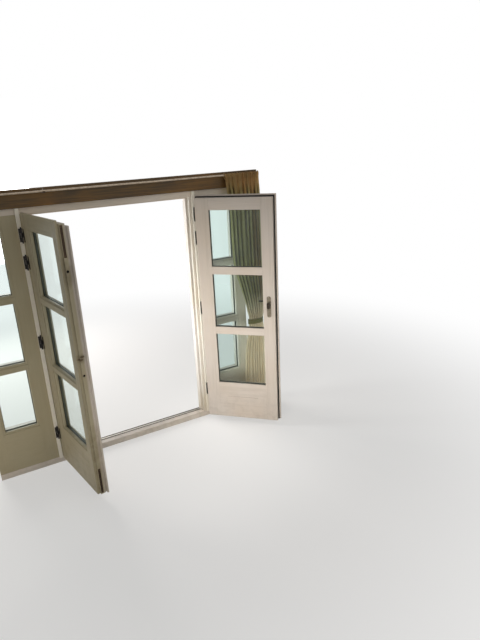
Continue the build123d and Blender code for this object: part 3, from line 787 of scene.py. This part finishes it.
@dataclass
class Ironmongery(Assembly):
    """Finials, screws and the small furniture of hinges, bolts, lock, threshold and rail.

    Places on a leaf are measured off its hinge pins, with the leaf shut, and the others in the room.
    """

    hinge_heights: tuple = (0.234, 1.022, 1.642, 1.840)
    hinge_half: float = 0.048
    wing_face: float = 0.006
    lining_line: float = -0.0128
    wing_line: float = 0.0222
    screw_pitch: float = 0.036
    meeting_edge: float = 0.6735
    edge_middle: float = 0.040
    bolt_lows: tuple = (0.008, 1.765)
    bolt_slot: float = 0.1025
    bolt_screws: tuple = (0.012, 0.193)
    bolt_plate: float = 0.6738
    slide_lifts: tuple = (-0.02, 0.02)
    edge_holes: tuple = (0.953, 1.677)
    cup_foot: float = 0.6605
    lock_line: float = 0.6245
    plate_faces: tuple = (0.004, 0.070)
    plate_screws: tuple = (0.993, 1.157)
    spindle: float = 1.091
    brackets: tuple = (-1.24, -0.49, 1.24)
    bracket_face: float = -0.081
    bracket_screws: tuple = (2.181, 2.202)
    strip_screws: tuple = (-0.56, 0.033, 0.0518)
    strip_pitch: float = 0.16
    bead: tuple = (0.6345, 0.003, 0.0034)

    def build(self) -> None:
        """Model all small metalwork."""
        screw = self.screw()
        self.hinges(screw)
        self.hole_shade_cups()
        self.bolts(screw)
        self.lock(screw)
        self.knob()
        self.lever()
        self.rail(screw)
        self.threshold(screw)
        drop(screw)

    @staticmethod
    def screw() -> Piece:
        """Model a countersunk slotted screw head that faces up."""
        head = turned("screw_pattern", 0.0037, 0.0006, ((0.0004, 0.0034), (0.0002, 0.0026)), 16)
        slot = block("slot_tool", (-0.005, -0.0005, 0.0006), (0.005, 0.0005, 0.002))
        return cut(head, slot)

    def hinges(self, screw: Piece) -> None:
        """Turned tips on the pins, and screws in both wings."""
        steps = ((0.0008, 0.0068), (0.0012, 0.0068), (0.0008, 0.0045), (0.0012, 0.0034), (0.0014, 0.0048))
        steps += ((0.0016, 0.0052), (0.0016, 0.0046), (0.0012, 0.0032), (0.0006, 0.0014))
        tip = turned("tip_pattern", 0.0056, 0.0006, steps, 20)
        iron = ("hinge_black", "frame", "hinge_metal")
        for word, leaf in LEAVES.items():
            still, tips, fixed, moving = Hang(leaf.side), [], [], []
            for height in self.hinge_heights:
                tips.append(still.at(0, 0, height + self.hinge_half))
                tips.append(still.at(0, 0, height - self.hinge_half) @ UPSIDE_DOWN)
                for step in (-1, 0, 1):
                    spot = (self.wing_face, height + step * self.screw_pitch)
                    fixed.append(still.at(self.lining_line, *spot) @ INDOORS)
                    moving.append(leaf.at(self.wing_line, *spot) @ INDOORS)
            self.spread(tip, f"{word}_hinge_tips", tips, *iron)
            self.spread(screw, f"{word}_lining_screws", fixed, *iron)
            self.spread(screw, f"{word}_wing_screws", moving, "hinge_black", f"{word}_leaf", "hinge_metal")
        drop(tip)

    def bolts(self, screw: Piece) -> None:
        """Thumb slides in the flush bolts' slots, and the screws of their plates."""
        slide = block("slide_pattern", (-0.003, -0.0026, -0.011), (0.0012, 0.0026, 0.011))
        press(slide, lambda middle, normal: normal.x > 0.9, (0.0008, (0.001, 0, 0)))
        round_edges(slide, 0.0004)
        slides, screws = [], []
        for low, lift in zip(self.bolt_lows, self.slide_lifts):
            slides.append(LEFT.at(self.meeting_edge, self.edge_middle, low + self.bolt_slot + lift))
            for z in self.bolt_screws:
                screws.append(LEFT.at(self.bolt_plate, self.edge_middle, low + z) @ EDGEWAYS)
        self.spread(slide, "bolt_slides", slides, "bolt_bronze", "left_leaf", "bolt_metal")
        self.spread(screw, "bolt_screws", screws, "bolt_bronze", "left_leaf", "bolt_metal")
        drop(slide)

    def hole_shade_cups(self) -> None:
        """Dark cups in the two round holes of the left leaf's meeting edge: painted shade, to darken the
        holes.
        """
        cup = rod("cup_pattern", 0.0086, 0.0115, 20)
        press(cup, looks_up, (0.0005, (0, 0, -0.0105)))
        holes = [LEFT.at(self.cup_foot, self.edge_middle, z) @ EDGEWAYS for z in self.edge_holes]
        self.spread(cup, "edge_hole_shade_cups", holes, "hollow_dark", "left_leaf", "bolt_metal")
        drop(cup)

    def lock(self, screw: Piece) -> None:
        """Screws in the lock plates on both faces."""
        screws = []
        for z in self.plate_screws:
            for y, facing in zip(self.plate_faces, (INDOORS, OUTDOORS)):
                screws.append(RIGHT.at(self.lock_line, y, z) @ facing)
        self.spread(screw, "lock_plate_screws", screws, "lock_satin", "right_leaf", "lock_metal")

    def seat(self, name: str, pieces: Sequence[Piece], y: float, facing: Matrix, plain: str) -> None:
        """Join a handle's pieces and seat them on the spindle, in place of a plain one."""
        handle = join(name, pieces)
        handle.data.transform(RIGHT.at(self.lock_line, y, self.spindle) @ facing)
        handle.data.flip_normals()
        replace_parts(self.give(handle, "handle_dark", "handle", "dark_handle"), plain)

    def knob(self) -> None:
        """Oval dished knob on a turned neck."""
        steps = ((0.0012, 0.0125), (0.0012, 0.0085), (0.004, 0.0066), (0.006, 0.0072))
        neck = turned("knob_neck", 0.0125, 0.0008, steps)
        oval = rod("knob_oval", 0.0135, 0.0195, 32)
        for way in (1, -1):
            pick(oval, lambda middle, normal: abs(normal.z) < 0.5 and middle.y * way > 0.001)
            bpy.ops.transform.translate(value=(0, way * 0.0145, 0))
        for way in (1, -1):
            pick(oval, lambda middle, normal: normal.z * way > 0.9)
            bpy.ops.mesh.bevel(offset=0.0062, segments=5, affect="EDGES")
        press(oval, looks_up, (0.0016, (0, 0, -0.0011)), (0.0012, (0, 0, 0.0005)))
        smooth(oval)
        oval.data.transform(Matrix.Translation((0, 0, 0.012)))
        self.seat("oval_knob", [neck, oval], self.plate_faces[1], OUTDOORS, "outside_knob")

    def lever(self) -> None:
        """Bent lever on a turned rose."""
        steps = ((0.0010, 0.0135), (0.0012, 0.0125), (0.0010, 0.0098), (0.005, 0.0088))
        rose = turned("lever_rose", 0.0135, 0.0008, steps)
        arm = rod("lever_arm", 0.0062, 0.028)
        pick(arm, looks_up)
        bend = (-0.014, 0, 0.028)
        bpy.ops.mesh.spin(steps=8, angle=math.pi / 2, center=bend, axis=(0, 1, 0), use_auto_merge=False)
        leave()
        pick(arm, lambda middle, normal: normal.x < -0.9 and middle.x < -0.013)
        grip = ((0.012, 1.12, 1.06), (0.03, 1.1, 1.04), (0.035, 1.0, 1.0), (0.016, 0.96, 0.98))
        tip = ((0.0035, 0.9, 0.9), (0.0022, 0.72, 0.72), (0.001, 0.45, 0.45))
        for way, thick, wide in grip + tip:
            push((-way, 0, 0))
            bpy.ops.transform.resize(value=(1, thick, wide))
        face_out(arm)
        smooth(arm)
        self.seat("bent_lever", [rose, arm], self.plate_faces[0], INDOORS, "inside_lever")

    def rail(self, screw: Piece) -> None:
        """Screws of the curtain rail's brackets."""
        spots = [(x, self.bracket_face, z) for x in self.brackets for z in self.bracket_screws]
        places = [Matrix.Translation(spot) @ INDOORS for spot in spots]
        self.spread(screw, "bracket_screws", places, "screw_steel", "frame", "rail_metal")

    def threshold(self, screw: Piece) -> None:
        """Screws along the weather strip, and the rubber beads beside it."""
        x, y, z = self.strip_screws
        places = [Matrix.Translation((x + self.strip_pitch * step, y, z)) for step in range(8)]
        self.spread(screw, "threshold_screws", places, "screw_steel", "frame", "weather_strip")
        half, deep, tall = self.bead
        for word, y, z in (("inner", 0.0085, 0.0498), ("outer", 0.0376, 0.0516)):
            bead = block(f"threshold_{word}_bead", (-half, y, z), (half, y + deep, z + tall))
            press(bead, looks_up, (0.0006, (0, 0, 0.0006)))
            round_edges(bead, 0.0005)
            self.give(bead, "seal_black", "frame", "black_seal")


@dataclass
class Gaskets(Assembly):
    """Black glazing gaskets on both faces of every pane."""

    floors: tuple = (0.342, 0.877, 1.412)
    leaf_foot: float = 0.058
    pane_height: float = 0.469
    leaf_span: tuple = (0.143, 0.575)
    leaf_faces: tuple = (0.0328, 0.051)
    window_span: tuple = (0.816, 1.051)
    window_faces: tuple = (-0.0212, -0.003)
    wall: float = 0.0022

    def ring(self, name: str, span: tuple) -> Piece:
        """Model a gasket round one opening, upright with its foot at the origin."""
        width, height = span[1] - span[0], self.pane_height
        stand = {"location": (width / 2, 0, height / 2), "rotation": (math.pi / 2, 0, 0)}
        ring = fresh(name, "plane", (width, height, 1), size=1, **stand)
        pick(ring)
        bpy.ops.mesh.inset(thickness=self.wall)
        bpy.ops.mesh.delete(type="FACE")
        bpy.ops.mesh.select_all(action="SELECT")
        push((0, self.wall, 0))
        face_out(ring)
        return round_edges(ring, 0.0006)

    def build(self) -> None:
        """Copy the two rings to all panes."""
        ring = self.ring("leaf_gasket_pattern", self.leaf_span)
        for word, leaf in LEAVES.items():
            places = [leaf.at(self.leaf_span[0], y, z) for z in self.floors for y in self.leaf_faces]
            self.spread(ring, f"{word}_leaf_gaskets", places, "seal_black", f"{word}_leaf", "black_seal")
        narrow = self.ring("window_gasket_pattern", self.window_span)
        for word, x in (("left", -self.window_span[1]), ("right", self.window_span[0])):
            spots = [(x, y, z + self.leaf_foot) for z in self.floors for y in self.window_faces]
            places = [Matrix.Translation(spot) for spot in spots]
            self.spread(narrow, f"{word}_window_gaskets", places, "seal_black", "frame", "black_seal")
        drop(ring, narrow)


@dataclass
class Curtain(Assembly):
    """The gathered curtain on the rail and the band that holds it.

    Each station is a height with the curtain's left and right edge there.
    """

    rail: tuple = (-0.111, 2.192)
    channel: float = 0.0125
    bracket: float = 1.24
    bracket_slit: float = 0.0065
    top: float = 2.146
    foot: float = 0.072
    folds: int = 8
    cut: tuple = (0.74, 2.19)
    columns: int = 216
    drop_rows: int = 96
    tie: tuple = (1.213, 0.86)
    tie_reach: tuple = (0.0765, 0.0262)
    tie_foot: float = 0.838
    stations: tuple = (
        (2.21, 0.96, 1.29), (2.06, 0.976, 1.293), (1.886, 0.997, 1.298), (1.64, 1.001, 1.301),
        (1.404, 1.012, 1.303), (1.2, 1.068, 1.304), (0.959, 1.126, 1.302), (0.88, 1.142, 1.296),
        (0.84, 1.142, 1.296), (0.72, 1.118, 1.3), (0.53, 1.086, 1.297), (0.237, 1.074, 1.301),
        (0.072, 1.074, 1.302),
    )

    def edges(self, height: float) -> tuple:
        """Return the curtain's left and right edge at a height, on smooth curves."""
        table = self.stations
        spot = next((i for i in range(len(table) - 1) if height >= table[i + 1][0]), len(table) - 2)
        rows = [table[min(max(spot + step, 0), len(table) - 1)] for step in (-1, 0, 1, 2)]
        share = min(max((rows[1][0] - height) / (rows[1][0] - rows[2][0]), 0.0), 1.0)

        def curve(column: int) -> float:
            """Return one column's value between its two middle rows."""
            a, b, c, d = (row[column] for row in rows)
            bend = 2 * a - 5 * b + 4 * c - d, 3 * (b - c) + d - a
            return b + 0.5 * share * (c - a + share * (bend[0] + share * bend[1]))

        return curve(1), curve(2)

    def path(self) -> list:
        """Return the cloth's way down: depth from the rail, height, and the way it faces."""
        way = [(-0.0032, 2.160, (-1.0, 0.0)), (0.004, 2.1655, (0.3, -0.9)), (0.0105, 2.176, (0.9, -0.3))]
        for step in range(9):
            angle = math.pi * step / 8
            facing = (math.cos(angle), math.sin(angle))
            way.append((self.channel * facing[0], self.rail[1] + self.channel * facing[1], facing))
        for depth, height in ((-0.0118, 2.180), (-0.0085, 2.168), (-0.0078, 2.158)):
            way.append((depth, height, (-1.0, 0.0)))
        for row in range(self.drop_rows):
            share = row / (self.drop_rows - 1)
            height = self.top + (self.foot - self.top) * share
            way.append((-0.008 + 0.008 * min(1.0, share * 8), height, (-1.0, 0.0)))
        return way

    def point(self, across: float, depth: float, height: float, facing: tuple) -> tuple:
        """Return one point of the cloth.

        Args:
            across: Share of the cut width, 0 to 1.
            depth: Depth from the rail before folding.
            height: Height before folding.
            facing: The way the cloth faces there, in depth and height.

        Returns:
            The point in the room.
        """
        left, right = self.edges(height)
        drift = 0.35 * math.sin(3.1 * height + 9 * across) + 0.2 * math.sin(7.3 * height + 23 * across)
        wander = 0.9 * math.sin(7.2 * across + 0.7) + 0.45 * math.sin(19 * across + 2.0)
        phase = 2 * math.pi * self.folds * across + wander + drift
        pitch = (right - left) / self.folds
        full = math.sqrt(max((self.cut[0] / self.folds) ** 2 - pitch**2, 0.0)) / 4.4
        loose = min(max((2.17 - height) / 0.16, 0.0), 1.0)
        loose = loose * loose * (3 - 2 * loose)
        held = math.exp(-(((height - self.tie[1]) / 0.05) ** 2))
        rim = 1 - 0.75 * held * abs(2 * across - 1) ** 3
        wave = full * (0.82 + 0.18 * math.sin(17 * across + 2.2 * height)) * (0.08 + 0.92 * loose) * rim
        ripple = full * (0.2 * (1 - loose) + 0.07 * loose)
        swing = wave * math.sin(phase) + ripple * math.sin(2 * phase + 1.3 * math.sin(5 * across))
        side = -0.13 * pitch * loose * math.sin(2 * phase)
        x = left + (right - left) * across + side
        y = self.rail[0] + depth + facing[0] * swing
        return (x, y, height + facing[1] * swing)

    def sheet(self) -> Piece:
        """Build the cloth as one sheet, open behind at the bracket, with its UV map in metres."""
        way = self.path()
        count = self.columns + 1
        points = [self.point(column / self.columns, *row) for row in way for column in range(count)]
        run = [0.0]
        for before, after in zip(way, way[1:]):
            run.append(run[-1] + math.hypot(after[0] - before[0], after[1] - before[1]))
        faces = []
        for row in range(len(way) - 1):
            for column in range(self.columns):
                corner = row * count + column
                x, y = points[corner][:2]
                if 1 < row < 8 and y > self.rail[0] and abs(x - self.bracket) < self.bracket_slit:
                    continue
                faces.append((corner, corner + count, corner + count + 1, corner + 1))
        mesh = bpy.data.meshes.new("gathered_curtain")
        mesh.from_pydata(points, [], faces)
        flat = mesh.uv_layers.new(name="cut")
        for loop in mesh.loops:
            row, column = divmod(loop.vertex_index, count)
            flat.data[loop.index].uv = (self.cut[0] * column / self.columns, run[row])
        piece = put("gathered_curtain", mesh)
        only(piece)
        bpy.ops.object.shade_smooth()
        log.info("the curtain's cut is %.3f by %.3f m", self.cut[0], run[-1])
        return piece

    def band(self) -> Piece:
        """Model the tie: a stitched band, drawn together round the folds."""
        x, y, z = self.tie[0], self.rail[0], self.tie_foot
        wide, deep = self.tie_reach
        ring = {"vertices": 72, "radius": 1, "location": (x, y, z)}
        band = fresh("curtain_band", "circle", (wide, deep, 1), **ring)
        bpy.ops.object.mode_set(mode="EDIT")
        bpy.ops.mesh.select_all(action="SELECT")
        steps = ((0.003, 1.012), (0.011, 0.988), (0.008, 0.992))
        steps += ((0.008, 1.008), (0.011, 1.012), (0.003, 0.99))
        for rise, spread in steps:
            bpy.ops.mesh.extrude_edges_move(TRANSFORM_OT_translate={"value": (0, 0, rise)})
            bpy.ops.transform.resize(value=(spread, spread, 1), center_override=(x, y, self.tie[1]))
        leave()
        for vertex in band.data.vertices:
            co = vertex.co
            around = math.atan2((co.y - y) / deep, (co.x - x) / wide)
            co.z += 0.0018 * math.sin(2 * around + 0.6) + 0.0008 * math.sin(7 * around)
            co.y += 0.0012 * math.sin(9 * around) * math.sin((co.z - z) * 70)
        flat = band.data.uv_layers.new(name="cut")
        for loop in band.data.loops:
            co = band.data.vertices[loop.vertex_index].co
            around = math.atan2(co.y - y, co.x - x) / math.pi
            flat.data[loop.index].uv = (0.17 * around, co.z - 0.81)
        modify(band, "SOLIDIFY", thickness=0.0022, offset=1.0)
        return smooth(band, 60)

    def build(self) -> None:
        """Hang the curtain and tie it."""
        cloth = self.give(self.sheet(), "curtain_linen", "frame", "curtain_cloth")
        band = self.give(self.band(), "band_linen", "frame", "curtain_cloth")
        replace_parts(cloth, "curtain")
        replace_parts(band, "curtain_tieback")


# Studio


@dataclass(frozen=True)
class Lamp:
    """A soft square lamp that looks at a place; a narrow one lights without being seen."""

    name: str
    spot: tuple
    aim: tuple
    size: float
    power: float
    tone: tuple
    spread: float = 180.0

    def hang(self) -> None:
        """Put the lamp in the scene."""
        data = bpy.data.lights.new(self.name, "AREA")
        data.shape = "SQUARE"
        data.size = self.size
        data.energy = self.power
        data.color = self.tone
        data.spread = math.radians(self.spread)
        lamp = put(self.name, data)
        lamp.location = self.spot
        lamp.visible_camera = lamp.visible_glossy = self.spread > 90.0
        lamp.rotation_euler = (Vector(self.aim) - Vector(self.spot)).to_track_quat("-Z", "Y").to_euler()


@dataclass
class Studio:
    """Pale floor, plain soft light and the camera."""

    spot: tuple = (-1.199, -4.092, 2.488)
    yaw: float = 29.42
    pitch: float = -19.19
    roll: float = -2.78
    focal_px: float = 525.5
    long_side_px: float = 640.0
    lamps: tuple = (
        Lamp("window_light", (-1.0, 3.3, 2.0), (0.6, -0.6, 0.6), 2.2, 108, (1.0, 0.97, 0.95)),
        Lamp("opening_light", (-0.7, 0.64, 1.3), (0.66, 0.02, 1.05), 0.5, 6.0, (0.95, 0.98, 1.0), 80),
        Lamp("room_light", (1.8, -5.0, 3.6), (0.0, 0.0, 0.6), 3.5, 36, (1.0, 0.94, 0.82)),
        Lamp("leaf_light", (-0.5, -2.0, 0.85), (0.9, -0.42, 0.78), 0.8, 5.8, (1.0, 0.96, 0.93), 76),
        Lamp("floor_light", (-1.7, -1.15, 0.12), (-0.76, -0.1, 0.45), 1.0, 2.0, (1.0, 0.95, 0.9), 80),
    )

    def camera(self) -> None:
        """Stand the camera where the photographer stood."""
        data = bpy.data.cameras.new("camera")
        data.sensor_width = 36.0
        data.lens = self.focal_px / self.long_side_px * data.sensor_width
        data.clip_end = 60.0
        camera = put("camera", data)
        place = Matrix.Translation(self.spot)
        for angle, axis in ((-self.yaw, "Z"), (90 + self.pitch, "X"), (self.roll, "Z")):
            place = place @ Matrix.Rotation(math.radians(angle), 4, axis)
        camera.matrix_world = place
        bpy.context.scene.camera = camera

    @staticmethod
    def seen(graph: Graph) -> Field:
        """Return 1 for the rays that show a background: camera, glossy and transmission rays."""
        kinds = ("Camera", "Glossy", "Transmission")
        rays = [graph.add("LightPath", out=f"Is {kind} Ray") for kind in kinds]
        return (rays[0] + rays[1] + rays[2]).clamp()

    def world(self) -> None:
        """Fill the room with soft light and show white behind the object."""
        world = bpy.data.worlds.new("studio")
        bpy.context.scene.world = world
        graph = Graph(world)
        soft = graph.add("Background", {"Color": (0.97, 0.98, 1.0, 1.0), "Strength": 0.22})
        white = graph.add("Background", {"Color": (1.0, 1.0, 1.0, 1.0), "Strength": 1.0})
        graph.show(graph.mixed(self.seen(graph), soft, white))

    def floor(self) -> None:
        """Lay a pale floor that fades to white far off."""
        floor = fresh("studio_floor", "plane", (1, 1, 1), size=40)
        graph = Graph(bpy.data.materials.new("floor_paper"))
        here = graph.place(0.0, (1, 1, 0))
        far = graph.vector("LENGTH", here, out="Value")
        tint = graph.blend(graph.noise(here, 60, 3) * 0.2, (244, 242, 238), (236, 234, 230))
        paper = graph.add("BsdfPrincipled", {"Base Color": tint, "Roughness": 0.8})
        white = graph.add("Emission", {"Color": (1, 1, 1, 1), "Strength": 1.0})
        share = (far.ease(1.8, 5.0) * 0.55 + 0.45) * self.seen(graph)
        graph.show(graph.mixed(share, paper, white))
        floor.data.materials.append(graph.owner)

    def build(self) -> None:
        """Set up camera, lamps, world and floor."""
        bpy.context.scene.view_settings.view_transform = "Standard"
        self.camera()
        for lamp in self.lamps:
            lamp.hang()
        self.world()
        self.floor()


def main() -> None:
    """Build the camera, the finishes and every sub-assembly in order."""
    logging.basicConfig(level=logging.INFO, format="%(message)s")
    Studio().build()
    palette = Palette()
    for kind in (Joinery, Gaskets, Ironmongery, Curtain):
        kind(palette).build()


if __name__ == "__main__":
    main()
